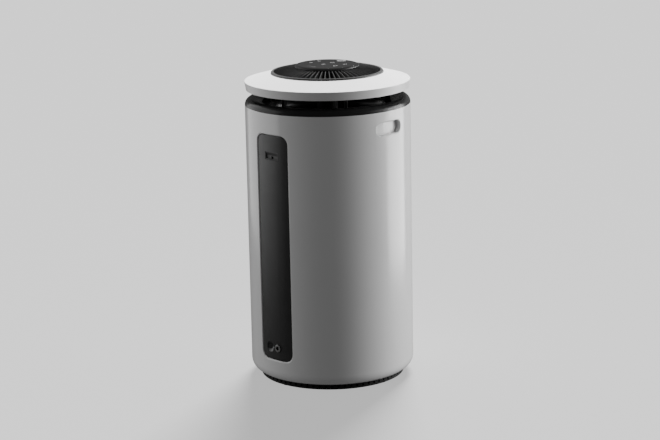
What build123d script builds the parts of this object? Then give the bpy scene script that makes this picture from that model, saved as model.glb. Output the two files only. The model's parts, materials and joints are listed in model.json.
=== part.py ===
from build123d import *
import math
import os

# Free-standing room air purifier: a white cylinder on a recessed black plinth, with a floating
# top ring over a gap that runs all the way round, and a radial grille with a control cap.
# Millimetres, +Z up. The origin is the middle of the footprint, on the floor. The user stands
# at -Y, the service panel faces +Y and the hand grips are at -X and +X.

os.makedirs("parts", exist_ok=True)

# ---------------------------------------------------------------- driving dimensions
# Outer shell
BODY_R = 125.0
SHELL_WALL = 3.0
SHELL_BOTTOM = 10.0
SHELL_TOP = 420.6
SHELL_THROAT_R = 104.0
FOOT_ROUND = 16.0
EDGE_ROUND = 0.8
SHELL_INNER_R = BODY_R - SHELL_WALL

# Service window in the shell and the panel that fills it
WINDOW_WIDTH = 61.4
WINDOW_HEIGHT = 345.2
WINDOW_ROUND = 13.0
WINDOW_Z = 216.3
PANEL_RECESS = 1.5
PANEL_GAP = 0.3
PANEL_FACE_R = BODY_R - PANEL_RECESS
PANEL_FLANGE_R = SHELL_INNER_R - 0.3
PANEL_BACK_R = 118.0
PANEL_LAP = 4.0

# Hand grips
GRIP_LENGTH = 52.0
GRIP_HEIGHT = 19.0
GRIP_Z = 395.3
GRIP_BEVEL = 1.3
GRIP_WALL_R = 117.4
GRIP_CUP_WALL = 2.0
GRIP_HOOK = 6.0
GRIP_MARGIN = 3.5

# Base
BASE_R = 110.0
BASE_BOTTOM = 2.0
BASE_FLOOR = 2.0
INTAKE_SLOTS = 72
FOOT_PAD_R = 7.0
COVER_R = 88.5
COVER_GAP = 0.5
COVER_BOTTOM = 2.4
LUG_COUNT = 3
LUG_ARC = 20.0
LUG_REACH = 2.4
TWIST = 30.0
GROOVE_BOTTOM = 5.2
GROOVE_TOP = 8.0
SCREW_CIRCLE_R = 106.4
SCREW_R = 1.5

# Filter cartridge
FILTER_R = 88.0
FILTER_BOTTOM = 9.0
MEDIA_BOTTOM = 15.0
MEDIA_TOP = 269.0
FILTER_TOP = 273.0
PLEATS = 80
MEDIA_OUTER_R = 84.5
MEDIA_INNER_R = 63.0
CARBON_OUTER_R = 62.0
CARBON_INNER_R = 56.0

# Fan
DECK_BOTTOM = 280.0
DECK_TOP = 283.0
INLET_R = 47.5
IMPELLER_R = 80.0
IMPELLER_EYE_R = 52.5
IMPELLER_BOTTOM = 293.0
IMPELLER_TOP = 332.5
BLADES = 11
HOUSING_R = 97.0
HOUSING_WALL = 2.5
NECK_R = 86.3
NECK_TOP = 390.0
DIFFUSER_HUB_R = 46.0
DIFFUSER_VANES = 13
MOTOR_R = 34.0
MOTOR_BOTTOM = 343.0
MOTOR_TOP = 377.0
SHAFT_R = 4.0
BEARING_R = 8.0
RUNNING_CLEARANCE = 0.04

# Outlet bowl
LIP_ROUND = 10.0
BOWL_WALL = 2.5
BOWL_COLLAR_R = 83.5
BOWL_BOTTOM = 384.0
LIP_TOP = SHELL_TOP + LIP_ROUND
LIP_R = BODY_R - LIP_ROUND
FUNNEL_ROUND = LIP_R - BOWL_COLLAR_R

# Floating head
RING_BOTTOM = 443.7
RING_BOTTOM_R = 122.7
RING_EDGE = 456.3
RING_EDGE_R = 125.0
OPENING_R = 85.0
OPENING_Z = 467.1
RING_WALL = 2.4
HEAD_SEAT = 461.3
GRILLE_INNER_R = 80.3
FINS = 66
FIN_THICKNESS = 1.3
FIN_DEPTH = 12.0
GRILLE_RIM_TOP = 469.5
FIN_OUTER_TOP = 469.3
FIN_MIDDLE_TOP = 473.3
FIN_INNER_TOP = 475.6
FIN_MIDDLE_R = 66.0
HUB_R = 47.0
HUB_BOTTOM = 459.3
HUB_TOP = 474.0
COLUMN_R = 15.5
PILLARS = 6

# Control cap
CAP_R = 48.0
CAP_BOTTOM = 476.9
CAP_TOP = 479.3
TRIM_R = 48.5
TRIM_BOTTOM = 475.7
BOARD_BOTTOM = 467.3
BOARD_THICKNESS = 1.6
BUTTON_Y = -31.8
BUTTON_R = 7.0
BUTTON_TRAVEL = 1.2
BUTTON_TOP = CAP_TOP + 0.6

# Things on the service panel
SENSOR_Z = 357.5
SENSOR_WIDTH = 25.6
SENSOR_HEIGHT = 11.4
SENSOR_HOLE_Z = 354.8
SENSOR_HOLE_R = 2.2
JACK_X = -3.8
JACK_Z = 62.9
JACK_COLLAR_R = 5.8
JACK_HOLE_R = 2.8
JACK_PIN_R = 0.95
JACK_NECK_R = 4.5
STATUS_X = 5.4
STATUS_R = 1.0
RESET_X = 14.4
RESET_DISH_R = 8.0
RESET_DISH_DEPTH = 2.2
RESET_BOSS_R = 10.0
RESET_R = 4.0


# ---------------------------------------------------------------- shapes that repeat
def upright(angle):
    """The upright plane through the main axis whose local x points out at an angle."""
    turn = math.radians(angle)
    outward = (math.cos(turn), math.sin(turn), 0)
    normal = (math.sin(turn), -math.cos(turn), 0)
    return Plane(origin=(0, 0, 0), x_dir=outward, z_dir=normal)


def ring(inner, outer, bottom, top, mode=Mode.ADD):
    """A plain ring or disc about the main axis."""
    with BuildSketch(Plane.XY.offset(bottom)) as outline:
        Circle(outer)
        if inner > 0:
            Circle(inner, mode=Mode.SUBTRACT)
    extrude(outline.sketch, amount=top - bottom, mode=mode)


def turned(*points, mode=Mode.ADD):
    """A straight-sided section turned about the main axis."""
    with BuildSketch(Plane.XZ) as outline:
        with BuildLine():
            Polyline(*points, close=True)
        make_face()
    revolve(outline.sketch, axis=Axis.Z, mode=mode)


def arc_block(inner, outer, bottom, top, start, width, mode=Mode.ADD):
    """A block that follows an arc about the main axis, from a start angle in degrees."""
    with BuildSketch(upright(start)) as outline:
        with Locations(((inner + outer) / 2, (bottom + top) / 2)):
            Rectangle(outer - inner, top - bottom)
    revolve(outline.sketch, axis=Axis.Z, revolution_arc=width, mode=mode)


def pegs(radius, bottom, top, circle_r, count, start=0.0, mode=Mode.ADD):
    """Upright round pegs or holes on a circle about the main axis."""
    with BuildSketch(Plane.XY.offset(bottom)) as outline:
        with PolarLocations(circle_r, count, start_angle=start):
            Circle(radius)
    extrude(outline.sketch, amount=top - bottom, mode=mode)


def rear_peg(radius, x, z, near, far, mode=Mode.ADD, bore=0.0):
    """A round peg or hole that points to the rear, between two distances from the axis."""
    with BuildSketch(Plane.XZ.offset(-near)) as outline:
        with Locations((x, z)):
            Circle(radius)
            if bore > 0:
                Circle(bore, mode=Mode.SUBTRACT)
    extrude(outline.sketch, amount=near - far, mode=mode)


def rear_block(x, z, width, height, near, far, mode=Mode.ADD):
    """A rectangular block that points to the rear, between two distances from the axis."""
    with BuildSketch(Plane.XZ.offset(-near)) as outline:
        with Locations((x, z)):
            Rectangle(width, height)
    extrude(outline.sketch, amount=near - far, mode=mode)


def curved_plate(width, height, corner, middle_z, inner, outer, facing=90.0):
    """A rounded rectangle wrapped on the cylinder: what lies between two radii, facing an angle."""
    with BuildPart() as plate:
        with BuildSketch(upright(facing - 90).offset(-inner / 2)):
            with Locations((0, middle_z)):
                RectangleRounded(width, height, corner)
        extrude(amount=-outer)
        with BuildSketch(Plane.XY.offset(middle_z - height)) as wall:
            Circle(outer)
            Circle(inner, mode=Mode.SUBTRACT)
        extrude(wall.sketch, amount=2 * height, mode=Mode.INTERSECT)
    return plate.part


def rim_edges(part, radius, low, high):
    """Edges that lie on the cylinder of one radius, between two heights."""
    picked = ShapeList()
    for edge in part.edges():
        middle = edge @ 0.5
        on_radius = abs(math.hypot(middle.X, middle.Y) - radius) < 0.05
        if on_radius and low < middle.Z < high:
            picked.append(edge)
    return picked


def finish(builder, label):
    """Names a finished piece and writes it out."""
    builder.part.label = label
    export_step(builder.part, f"parts/{label}.step")


# ---------------------------------------------------------------- outer shell
with BuildPart() as outer_shell:
    with BuildSketch(Plane.XZ):
        with BuildLine():
            under = Line((SHELL_THROAT_R, SHELL_BOTTOM), (BODY_R - FOOT_ROUND, SHELL_BOTTOM))
            foot = TangentArc(under @ 1, (BODY_R, SHELL_BOTTOM + FOOT_ROUND), tangent=under % 1)
            side = Line(foot @ 1, (BODY_R, SHELL_TOP))
            rim = Line(side @ 1, (SHELL_INNER_R, SHELL_TOP))
            inside = Line(rim @ 1, (SHELL_INNER_R, SHELL_BOTTOM + FOOT_ROUND))
            hollow = TangentArc(
                inside @ 1, (BODY_R - FOOT_ROUND, SHELL_BOTTOM + SHELL_WALL), tangent=inside % 1
            )
            flange = Line(hollow @ 1, (SHELL_THROAT_R, SHELL_BOTTOM + SHELL_WALL))
            Line(flange @ 1, under @ 0)
        make_face()
    revolve(axis=Axis.Z)
    with BuildSketch(Plane.XZ.offset(-BODY_R / 2)):
        with Locations((0, WINDOW_Z)):
            RectangleRounded(WINDOW_WIDTH, WINDOW_HEIGHT, WINDOW_ROUND)
    extrude(amount=-BODY_R, mode=Mode.SUBTRACT)
    with BuildSketch(Plane.YZ):
        with Locations((0, GRIP_Z)):
            SlotOverall(GRIP_LENGTH, GRIP_HEIGHT)
    extrude(amount=BODY_R + 1, both=True, mode=Mode.SUBTRACT)
    pegs(SCREW_R + 0.2, SHELL_BOTTOM, SHELL_BOTTOM + SHELL_WALL, SCREW_CIRCLE_R, 4, 45, Mode.SUBTRACT)
    grip_rims = rim_edges(outer_shell, BODY_R, GRIP_Z - GRIP_HEIGHT, GRIP_Z + GRIP_HEIGHT)
    chamfer(grip_rims, GRIP_BEVEL)
    window_low = WINDOW_Z - WINDOW_HEIGHT / 2 - 1
    window_high = WINDOW_Z + WINDOW_HEIGHT / 2 + 1
    window_rim = rim_edges(outer_shell, BODY_R, window_low, window_high)
    fillet([edge for edge in window_rim if (edge @ 0.5).Y > BODY_R / 2], EDGE_ROUND)
finish(outer_shell, "outer_shell")


# ---------------------------------------------------------------- hand grip cups
def grip_cup(facing):
    """A shallow cup behind a grip slot, with a hook space for the fingertips above the slot."""
    cup_height = GRIP_HEIGHT + 2 * GRIP_MARGIN + GRIP_HOOK - 1.5
    cup_z = GRIP_Z + (GRIP_HOOK - 1.5) / 2
    block = curved_plate(
        GRIP_LENGTH + 2 * GRIP_MARGIN, cup_height, 4, cup_z,
        GRIP_WALL_R - GRIP_CUP_WALL, SHELL_INNER_R, facing,
    )
    mouth = curved_plate(
        GRIP_LENGTH, GRIP_HEIGHT, GRIP_HEIGHT / 2 - 0.01, GRIP_Z, GRIP_WALL_R, BODY_R, facing
    )
    hook = curved_plate(
        GRIP_LENGTH - 8, GRIP_HEIGHT + GRIP_HOOK, 4, GRIP_Z + GRIP_HOOK / 2,
        GRIP_WALL_R, SHELL_INNER_R - 2.0, facing,
    )
    with BuildPart() as cup:
        add(block)
        add(mouth, mode=Mode.SUBTRACT)
        add(hook, mode=Mode.SUBTRACT)
    return cup


grip_cup_left = grip_cup(180)
finish(grip_cup_left, "grip_cup_left")
grip_cup_right = grip_cup(0)
finish(grip_cup_right, "grip_cup_right")


# ---------------------------------------------------------------- base plinth, feet and filter cover
COVER_SEAT_R = COVER_R + COVER_GAP
GROOVE_R = COVER_R + LUG_REACH + 0.4
NOTCH_ARC = LUG_ARC + 4

with BuildPart() as base_plinth:
    ring(COVER_SEAT_R, BASE_R, BASE_BOTTOM, BASE_BOTTOM + BASE_FLOOR)
    ring(BASE_R - 3, BASE_R, BASE_BOTTOM, SHELL_BOTTOM)
    ring(COVER_SEAT_R, COVER_SEAT_R + 4, BASE_BOTTOM, SHELL_BOTTOM + 2)
    ring(SHELL_THROAT_R - 2.5, BASE_R, SHELL_BOTTOM - 1, SHELL_BOTTOM)
    ring(SHELL_THROAT_R - 2.5, SHELL_THROAT_R - 0.3, SHELL_BOTTOM - 1, SHELL_BOTTOM + 7)
    for rib in range(12):
        arc_block(COVER_SEAT_R + 3, BASE_R - 2, BASE_BOTTOM, SHELL_BOTTOM - 1, rib * 30 + 14.4, 1.2)
    pegs(3.4, BASE_BOTTOM, SHELL_BOTTOM, SCREW_CIRCLE_R, 4, 45)
    with BuildSketch(Plane.XY.offset(BASE_BOTTOM + BASE_FLOOR + 0.6)) as intake:
        with PolarLocations(BASE_R, INTAKE_SLOTS, start_angle=2.5):
            Rectangle(8, 2.8)
    extrude(intake.sketch, amount=4.4, mode=Mode.SUBTRACT)
    ring(COVER_SEAT_R, GROOVE_R, GROOVE_BOTTOM, GROOVE_TOP, Mode.SUBTRACT)
    for lug in range(LUG_COUNT):
        notch_start = lug * 360 / LUG_COUNT + TWIST - 2
        arc_block(
            COVER_SEAT_R - 1, GROOVE_R, BASE_BOTTOM, GROOVE_TOP, notch_start, NOTCH_ARC, Mode.SUBTRACT
        )
    pegs(SCREW_R + 0.2, BASE_BOTTOM, SHELL_BOTTOM, SCREW_CIRCLE_R, 4, 45, Mode.SUBTRACT)
    pegs(3.0, BASE_BOTTOM, BASE_BOTTOM + 2.2, SCREW_CIRCLE_R, 4, 45, Mode.SUBTRACT)
finish(base_plinth, "base_plinth")

with BuildPart() as rubber_feet:
    with BuildSketch():
        with PolarLocations(100, 4):
            Circle(FOOT_PAD_R)
    extrude(amount=BASE_BOTTOM)
    fillet(rubber_feet.edges().group_by(Axis.Z)[0], 0.6)
finish(rubber_feet, "rubber_feet")

with BuildPart() as base_screws:
    pegs(2.8, BASE_BOTTOM + 0.4, BASE_BOTTOM + 2.2, SCREW_CIRCLE_R, 4, 45)
    pegs(SCREW_R, BASE_BOTTOM + 2.2, 26, SCREW_CIRCLE_R, 4, 45)
    pegs(1.2, BASE_BOTTOM + 0.4, BASE_BOTTOM + 1.4, SCREW_CIRCLE_R, 4, 45, Mode.SUBTRACT)
finish(base_screws, "base_screws")

WELL_R = 40.0
WELL_TOP = 18.0
COVER_TOP = 7.6

with BuildPart() as filter_cover:
    ring(0, COVER_R, COVER_BOTTOM, COVER_TOP)
    ring(0, WELL_R + 2, COVER_BOTTOM, WELL_TOP + 2)
    ring(0, WELL_R, COVER_BOTTOM, WELL_TOP, Mode.SUBTRACT)
    for lug in range(LUG_COUNT):
        arc_block(
            COVER_R - 1, COVER_R + LUG_REACH, GROOVE_BOTTOM + 0.3, COVER_TOP,
            lug * 360 / LUG_COUNT, LUG_ARC,
        )
    with BuildSketch(Plane.XY.offset(COVER_BOTTOM)):
        Rectangle(2 * WELL_R + 1, 13)
    extrude(amount=6)
    handle_edges = filter_cover.edges().filter_by(Axis.X).filter_by(lambda e: e.length > WELL_R)
    fillet(handle_edges, 2.5)
finish(filter_cover, "filter_cover")


# ---------------------------------------------------------------- filter cartridge
with BuildPart() as filter_bottom_cap:
    ring(WELL_R + 8, FILTER_R, FILTER_BOTTOM, MEDIA_BOTTOM)
    ring(0, WELL_R + 10, FILTER_BOTTOM, 26)
    ring(0, WELL_R + 8, FILTER_BOTTOM, 24, Mode.SUBTRACT)
    ring(MEDIA_INNER_R - 0.5, FILTER_R - 2, MEDIA_BOTTOM - 3, MEDIA_BOTTOM, Mode.SUBTRACT)
finish(filter_bottom_cap, "filter_bottom_cap")

with BuildPart() as filter_media:
    with BuildSketch(Plane.XY.offset(MEDIA_BOTTOM - 3)):
        with BuildLine():
            step = 2 * math.pi / PLEATS
            tips = []
            for pleat in range(PLEATS):
                for radius, lead in ((MEDIA_OUTER_R, 0.0), (MEDIA_INNER_R + 1.2, 0.5)):
                    angle = (pleat + lead) * step
                    tips.append((radius * math.cos(angle), radius * math.sin(angle)))
            Polyline(*tips, close=True)
        make_face()
        with BuildLine():
            folds = []
            for pleat in range(PLEATS):
                for radius, lead in ((MEDIA_OUTER_R - 8, 0.0), (MEDIA_INNER_R, 0.5)):
                    angle = (pleat + lead) * step
                    folds.append((radius * math.cos(angle), radius * math.sin(angle)))
            Polyline(*folds, close=True)
        make_face(mode=Mode.SUBTRACT)
    extrude(amount=MEDIA_TOP + 3 - (MEDIA_BOTTOM - 3))
finish(filter_media, "filter_media")

with BuildPart() as carbon_core:
    ring(CARBON_INNER_R, CARBON_OUTER_R, MEDIA_BOTTOM, MEDIA_TOP)
finish(carbon_core, "carbon_core")

with BuildPart() as prefilter_mesh:
    ring(MEDIA_OUTER_R + 0.3, MEDIA_OUTER_R + 1.3, MEDIA_BOTTOM - 3, MEDIA_TOP + 3)
finish(prefilter_mesh, "prefilter_mesh")

with BuildPart() as filter_top_cap:
    ring(CARBON_INNER_R, FILTER_R, MEDIA_TOP, FILTER_TOP)
    ring(MEDIA_INNER_R - 0.5, FILTER_R - 2, MEDIA_TOP, MEDIA_TOP + 3, Mode.SUBTRACT)
finish(filter_top_cap, "filter_top_cap")

with BuildPart() as filter_seal:
    ring(66, 82, FILTER_TOP, DECK_BOTTOM)
finish(filter_seal, "filter_seal")

with BuildPart() as filter_pull_tab:
    arc_block(64, 78, COVER_TOP + 0.3, FILTER_BOTTOM, 240, 60)
finish(filter_pull_tab, "filter_pull_tab")


# ---------------------------------------------------------------- inner frame and fan deck
FRAME_OUTER_R = 108.5
LEAD_X = 10.0
LEAD_Y = 108.0

with BuildPart() as inner_frame:
    ring(SHELL_THROAT_R + 0.2, FRAME_OUTER_R, SHELL_BOTTOM + SHELL_WALL, 18)
    ring(HOUSING_R, 117, 275, DECK_BOTTOM)
    for post in range(4):
        arc_block(SHELL_THROAT_R + 0.5, FRAME_OUTER_R - 0.3, 17, 276, post * 90 + 39, 12)
    pegs(SCREW_R, SHELL_BOTTOM, 26, SCREW_CIRCLE_R, 4, 45, Mode.SUBTRACT)
    pegs(SCREW_R, 270, DECK_BOTTOM, SCREW_CIRCLE_R, 4, 45, Mode.SUBTRACT)
    with BuildSketch(Plane.XY.offset(274)):
        with Locations((LEAD_X, LEAD_Y)):
            Circle(3.2)
    extrude(amount=7, mode=Mode.SUBTRACT)
finish(inner_frame, "inner_frame")

with BuildPart() as fan_deck:
    ring(INLET_R, 117, DECK_BOTTOM, DECK_TOP)
    turned(
        (INLET_R, DECK_TOP - 1), (INLET_R + 6, DECK_TOP - 1), (INLET_R + 1.8, DECK_TOP + 5),
        (INLET_R + 1.8, IMPELLER_BOTTOM + 2), (INLET_R, IMPELLER_BOTTOM + 2),
    )
    pegs(SCREW_R + 0.2, DECK_BOTTOM, DECK_TOP, SCREW_CIRCLE_R, 4, 45, Mode.SUBTRACT)
    pegs(SCREW_R, DECK_BOTTOM, DECK_TOP, HOUSING_R + 3.5, 6, 0, Mode.SUBTRACT)
    with BuildSketch(Plane.XY.offset(DECK_BOTTOM - 1)):
        with Locations((LEAD_X, LEAD_Y)):
            Circle(3.2)
    extrude(amount=5, mode=Mode.SUBTRACT)
finish(fan_deck, "fan_deck")

with BuildPart() as deck_screws:
    pegs(2.8, DECK_TOP, DECK_TOP + 2, SCREW_CIRCLE_R, 4, 45)
    pegs(SCREW_R, 271, DECK_TOP, SCREW_CIRCLE_R, 4, 45)
    pegs(1.2, DECK_TOP + 1, DECK_TOP + 2, SCREW_CIRCLE_R, 4, 45, Mode.SUBTRACT)
finish(deck_screws, "deck_screws")


# ---------------------------------------------------------------- fan
with BuildPart() as fan_housing:
    turned(
        (HOUSING_R - HOUSING_WALL, DECK_TOP), (HOUSING_R + 6, DECK_TOP), (HOUSING_R + 6, DECK_TOP + 3),
        (HOUSING_R, DECK_TOP + 3), (HOUSING_R, 350.5), (NECK_R + HOUSING_WALL, 374.5),
        (NECK_R + HOUSING_WALL, NECK_TOP), (NECK_R, NECK_TOP), (NECK_R, 374),
        (HOUSING_R - HOUSING_WALL, 350),
    )
    pegs(SCREW_R + 0.2, DECK_TOP, DECK_TOP + 3, HOUSING_R + 3.5, 6, 0, Mode.SUBTRACT)
finish(fan_housing, "fan_housing")

with BuildPart() as housing_screws:
    pegs(2.4, DECK_TOP + 3, DECK_TOP + 5, HOUSING_R + 3.5, 6)
    pegs(SCREW_R, DECK_BOTTOM, DECK_TOP + 3, HOUSING_R + 3.5, 6)
    pegs(1.1, DECK_TOP + 4, DECK_TOP + 5, HOUSING_R + 3.5, 6, 0, Mode.SUBTRACT)
finish(housing_screws, "housing_screws")


def swept_blades(count, inner, outer, thickness, bottom, top, lean):
    """Upright blades between two radii, each a circular arc that leans back by an angle."""
    with BuildSketch(Plane.XY.offset(bottom)) as outline:
        for blade in range(count):
            root = math.radians(360 * blade / count)
            middle = root + math.radians(lean * 0.35)
            tip = root + math.radians(lean)
            middle_r = (inner + outer) / 2
            with BuildLine() as spine:
                ThreePointArc(
                    (inner * math.cos(root), inner * math.sin(root)),
                    (middle_r * math.cos(middle), middle_r * math.sin(middle)),
                    (outer * math.cos(tip), outer * math.sin(tip)),
                )
            trace(spine.line, line_width=thickness)
    extrude(outline.sketch, amount=top - bottom)


with BuildPart() as impeller:
    ring(IMPELLER_EYE_R, IMPELLER_R, IMPELLER_BOTTOM, IMPELLER_BOTTOM + 2.5)
    ring(SHAFT_R, IMPELLER_R, IMPELLER_TOP - 2.5, IMPELLER_TOP)
    ring(SHAFT_R, 11, 318, MOTOR_BOTTOM - 4)
    swept_blades(BLADES, 38, IMPELLER_R - 1, 2.0, IMPELLER_BOTTOM + 2, IMPELLER_TOP - 2, -42)
    ring(0, IMPELLER_EYE_R, IMPELLER_BOTTOM, IMPELLER_BOTTOM + 4, Mode.SUBTRACT)
finish(impeller, "impeller")

with BuildPart() as motor_shaft:
    ring(0, SHAFT_R, 314, MOTOR_TOP - 1)
finish(motor_shaft, "motor_shaft")

with BuildPart() as impeller_nut:
    with BuildSketch(Plane.XY.offset(314)):
        RegularPolygon(7, 6)
        Circle(SHAFT_R, mode=Mode.SUBTRACT)
    extrude(amount=4)
finish(impeller_nut, "impeller_nut")

with BuildPart() as fan_motor:
    ring(BEARING_R, MOTOR_R, MOTOR_BOTTOM, MOTOR_TOP)
    fillet(fan_motor.edges().filter_by(GeomType.CIRCLE).sort_by(SortBy.RADIUS)[-2:], 2)
    pegs(SCREW_R, MOTOR_TOP - 9, MOTOR_TOP, 24, 3, 30, Mode.SUBTRACT)
finish(fan_motor, "fan_motor")

with BuildPart() as motor_bearings:
    ring(SHAFT_R + RUNNING_CLEARANCE, BEARING_R, MOTOR_BOTTOM, MOTOR_BOTTOM + 5)
    ring(SHAFT_R + RUNNING_CLEARANCE, BEARING_R, MOTOR_TOP - 6, MOTOR_TOP - 1)
finish(motor_bearings, "motor_bearings")

with BuildPart() as fan_diffuser:
    ring(DIFFUSER_HUB_R - 2.5, DIFFUSER_HUB_R, 345, MOTOR_TOP + 3)
    ring(0, DIFFUSER_HUB_R, MOTOR_TOP, MOTOR_TOP + 3)
    ring(BOWL_COLLAR_R, NECK_R - 0.3, 375, BOWL_BOTTOM)
    swept_blades(DIFFUSER_VANES, DIFFUSER_HUB_R - 1, BOWL_COLLAR_R + 1, 1.6, 356, MOTOR_TOP + 2, 16)
    pegs(SCREW_R + 0.2, MOTOR_TOP, MOTOR_TOP + 3, 24, 3, 30, Mode.SUBTRACT)
finish(fan_diffuser, "fan_diffuser")

with BuildPart() as motor_screws:
    pegs(2.8, MOTOR_TOP + 3, MOTOR_TOP + 5, 24, 3, 30)
    pegs(SCREW_R, MOTOR_TOP - 8, MOTOR_TOP + 3, 24, 3, 30)
finish(motor_screws, "motor_screws")


# ---------------------------------------------------------------- outlet bowl
with BuildPart() as outlet_bowl:
    with BuildSketch(Plane.XZ):
        with BuildLine():
            seat = Line((BODY_R - 3.3, SHELL_TOP), (BODY_R, SHELL_TOP))
            lip = TangentArc(seat @ 1, (LIP_R, LIP_TOP), tangent=(0, 1))
            funnel = TangentArc(lip @ 1, (BOWL_COLLAR_R, LIP_TOP - FUNNEL_ROUND), tangent=(-1, 0))
            collar = Line(funnel @ 1, (BOWL_COLLAR_R, BOWL_BOTTOM))
            collar_end = Line(collar @ 1, (BOWL_COLLAR_R + BOWL_WALL, BOWL_BOTTOM))
            collar_back = Line(collar_end @ 1, (BOWL_COLLAR_R + BOWL_WALL, LIP_TOP - FUNNEL_ROUND))
            funnel_back = TangentArc(collar_back @ 1, (LIP_R, LIP_TOP - BOWL_WALL), tangent=(0, 1))
            web = Line(funnel_back @ 1, (BODY_R - 6, SHELL_TOP - 1))
            skirt_inside = Line(web @ 1, (BODY_R - 6, SHELL_TOP - 6))
            skirt_end = Line(skirt_inside @ 1, (BODY_R - 3.3, SHELL_TOP - 6))
            Line(skirt_end @ 1, seat @ 0)
        make_face()
    revolve(axis=Axis.Z)
finish(outlet_bowl, "outlet_bowl")


# ---------------------------------------------------------------- floating head
TRAY_R = RING_BOTTOM_R - RING_WALL - 0.3
TRAY_WALL = 2.0
TRAY_LOW = RING_BOTTOM - 3.6
TRAY_KNEE_R = 88.0
TRAY_COLLAR_R = 82.0
TRAY_SEAT_R = 88.5
TRAY_RIM_TOP = RING_BOTTOM + 6

with BuildPart() as top_tray:
    turned(
        (TRAY_R, RING_BOTTOM + 0.4), (TRAY_KNEE_R, TRAY_LOW), (TRAY_COLLAR_R, TRAY_LOW + 1),
        (TRAY_COLLAR_R, HEAD_SEAT), (TRAY_SEAT_R, HEAD_SEAT), (TRAY_SEAT_R, HEAD_SEAT - TRAY_WALL),
        (TRAY_COLLAR_R + TRAY_WALL, HEAD_SEAT - TRAY_WALL), (TRAY_COLLAR_R + TRAY_WALL, TRAY_LOW + 3.4),
        (TRAY_KNEE_R, TRAY_LOW + TRAY_WALL + 0.2), (TRAY_R - TRAY_WALL, RING_BOTTOM + 2.4),
        (TRAY_R - TRAY_WALL, TRAY_RIM_TOP), (TRAY_R, TRAY_RIM_TOP),
    )
finish(top_tray, "top_tray")

CONE_FALL = (OPENING_Z - RING_EDGE) / (RING_EDGE_R - OPENING_R)

with BuildPart() as top_ring:
    turned(
        (RING_BOTTOM_R, RING_BOTTOM), (RING_EDGE_R, RING_EDGE), (OPENING_R, OPENING_Z),
        (OPENING_R, HEAD_SEAT), (OPENING_R + 2.2, HEAD_SEAT),
        (OPENING_R + 2.2, OPENING_Z - 2.2 * CONE_FALL - 2.5),
        (RING_EDGE_R - 2.9, RING_EDGE + 2.9 * CONE_FALL - 2.5),
        (RING_BOTTOM_R - RING_WALL, RING_BOTTOM),
    )
    crown = top_ring.edges().filter_by(GeomType.CIRCLE).group_by(SortBy.RADIUS)[-1]
    fillet(crown, 1.0)
    mouth_edge = top_ring.edges().filter_by(GeomType.CIRCLE).group_by(Axis.Z)[-1]
    fillet(mouth_edge, 0.9)
finish(top_ring, "top_ring")

GRILLE_R = OPENING_R - 0.3
FIN_START = HUB_R - 1
FIN_END = GRILLE_INNER_R + 0.8
HUB_WALL = 3.0
HUB_FLANGE_R = 37.0
HEAD_SCREW_CIRCLE_R = 40.0

with BuildPart() as outlet_grille:
    turned(
        (GRILLE_INNER_R, HEAD_SEAT), (GRILLE_R, HEAD_SEAT), (GRILLE_R, GRILLE_RIM_TOP - 1.2),
        (GRILLE_R - 1.1, GRILLE_RIM_TOP), (GRILLE_INNER_R + 0.6, GRILLE_RIM_TOP),
        (GRILLE_INNER_R, GRILLE_RIM_TOP - 0.6),
    )
    ring(HUB_R - HUB_WALL, HUB_R, HUB_BOTTOM, HUB_TOP)
    ring(HUB_FLANGE_R, HUB_R, HUB_BOTTOM, HUB_BOTTOM + 2)
    with BuildSketch(Plane.XZ) as fin_outline:
        with BuildLine():
            fin_foot = Line((FIN_START, FIN_INNER_TOP - FIN_DEPTH), (FIN_END, HEAD_SEAT))
            fin_tip = Line(fin_foot @ 1, (FIN_END, FIN_OUTER_TOP))
            fin_crest = ThreePointArc(
                fin_tip @ 1, (FIN_MIDDLE_R, FIN_MIDDLE_TOP), (FIN_START, FIN_INNER_TOP)
            )
            Line(fin_crest @ 1, fin_foot @ 0)
        make_face()
    with BuildPart(mode=Mode.PRIVATE) as fin:
        extrude(fin_outline.sketch, amount=FIN_THICKNESS / 2, both=True)
    with PolarLocations(0, FINS):
        add(fin.part)
    ring(0, TRIM_R + 0.3, HUB_TOP, CAP_TOP, Mode.SUBTRACT)
    pegs(SCREW_R + 0.2, HUB_BOTTOM, HUB_BOTTOM + 2, HEAD_SCREW_CIRCLE_R, 4, 45, Mode.SUBTRACT)
finish(outlet_grille, "outlet_grille")

with BuildPart() as centre_column:
    ring(COLUMN_R - 2.5, COLUMN_R, MOTOR_TOP + 3, HUB_BOTTOM)
    ring(COLUMN_R - 2.5, HUB_R - 0.5, HUB_BOTTOM - 3, HUB_BOTTOM)
    turned(
        (COLUMN_R - 1, HUB_BOTTOM - 3), (HUB_R - 8, HUB_BOTTOM - 3), (COLUMN_R - 1, HUB_BOTTOM - 26)
    )
    pegs(SCREW_R, HUB_BOTTOM - 8, HUB_BOTTOM, HEAD_SCREW_CIRCLE_R, 4, 45, Mode.SUBTRACT)
finish(centre_column, "centre_column")

with BuildPart() as head_screws:
    pegs(2.6, HUB_BOTTOM + 2, HUB_BOTTOM + 3.8, HEAD_SCREW_CIRCLE_R, 4, 45)
    pegs(SCREW_R, HUB_BOTTOM - 3, HUB_BOTTOM + 2, HEAD_SCREW_CIRCLE_R, 4, 45)
finish(head_screws, "head_screws")

PILLAR_CIRCLE_R = 93.0
PILLAR_LENGTH = 9.0
PILLAR_WIDTH = 3.6
PILLAR_BOTTOM = SHELL_TOP - 14
PILLAR_TOP = RING_BOTTOM - 1.5

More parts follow.
